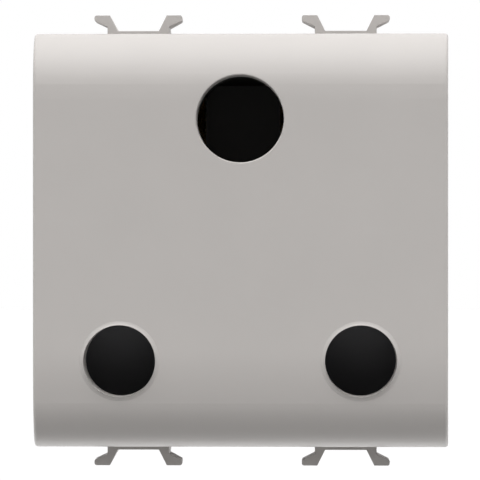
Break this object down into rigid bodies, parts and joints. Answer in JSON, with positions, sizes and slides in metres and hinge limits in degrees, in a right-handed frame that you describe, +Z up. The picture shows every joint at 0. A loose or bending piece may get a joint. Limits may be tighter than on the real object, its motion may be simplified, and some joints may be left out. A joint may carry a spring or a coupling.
{
  "type": "socket outlet",
  "caption": "Snap-in modular wall socket with a square face rolled at top and bottom, round pin holes, a sprung safety shutter behind them and screw terminals at the rear.",
  "frame": {"origin": "middle of the seating plane, where the rear edge of the face meets the support frame", "axes": "+X to the right and +Z up as seen from the front, +Y back into the wall"},
  "size_m": [0.0444, 0.0363, 0.0488],
  "materials": {
    "cover_plastic": "satin moulded",
    "inner_plastic": "matt moulded",
    "housing_plastic": "fine moulded grain",
    "contact_brass": "rolled strip",
    "spring_steel": "drawn wire and strip",
    "zinc_steel": "zinc plated"
  },
  "bodies": {
    "socket_body": {"front_cover": "cover_plastic", "inner_plate": "inner_plastic", "contact_housing": "housing_plastic", "shutter_spring_left": "spring_steel", "shutter_spring_right": "spring_steel", "live_contact": "contact_brass", "earth_contact": "contact_brass", "neutral_contact": "contact_brass", "live_contact_spring": "spring_steel", "earth_contact_spring": "spring_steel", "neutral_contact_spring": "spring_steel"},
    "shutter": {"shutter": "inner_plastic"},
    "live_clamp": {"live_clamp_plate": "zinc_steel"},
    "live_screw": {"live_terminal_screw": "zinc_steel"},
    "earth_clamp": {"earth_clamp_plate": "zinc_steel"},
    "earth_screw": {"earth_terminal_screw": "zinc_steel"},
    "neutral_clamp": {"neutral_clamp_plate": "zinc_steel"},
    "neutral_screw": {"neutral_terminal_screw": "zinc_steel"}
  },
  "joints": [
    {"name": "shutter_slide", "type": "slide", "parent": "socket_body", "child": "shutter", "axis": [0, 0, 1], "range_m": [0, 0.008], "stiffness_N_per_m": 120, "springref_m": -0.012, "deforming": ["shutter_spring_left", "shutter_spring_right"]},
    {"name": "live_clamp_travel", "type": "slide", "parent": "socket_body", "child": "live_clamp", "axis": [0, -1, 0], "range_m": [0, 0.0036]},
    {"name": "live_screw_turn", "type": "hinge", "parent": "live_clamp", "child": "live_screw", "pos_m": [0.0127, 0.024, -0.0127], "axis": [0, -1, 0], "range_deg": [0, 2165]},
    {"name": "earth_clamp_travel", "type": "slide", "parent": "socket_body", "child": "earth_clamp", "axis": [0, -1, 0], "range_m": [0, 0.0036]},
    {"name": "earth_screw_turn", "type": "hinge", "parent": "earth_clamp", "child": "earth_screw", "pos_m": [0, 0.024, -0.0127], "axis": [0, -1, 0], "range_deg": [0, 2165]},
    {"name": "neutral_clamp_travel", "type": "slide", "parent": "socket_body", "child": "neutral_clamp", "axis": [0, -1, 0], "range_m": [0, 0.0036]},
    {"name": "neutral_screw_turn", "type": "hinge", "parent": "neutral_clamp", "child": "neutral_screw", "pos_m": [-0.0127, 0.024, -0.0127], "axis": [0, -1, 0], "range_deg": [0, 2165]}
  ],
  "couplings": [
    {"joint": "live_screw_turn", "follows": "live_clamp_travel", "rad_per_m": 10472},
    {"joint": "earth_screw_turn", "follows": "earth_clamp_travel", "rad_per_m": 10472},
    {"joint": "neutral_screw_turn", "follows": "neutral_clamp_travel", "rad_per_m": 10472}
  ]
}
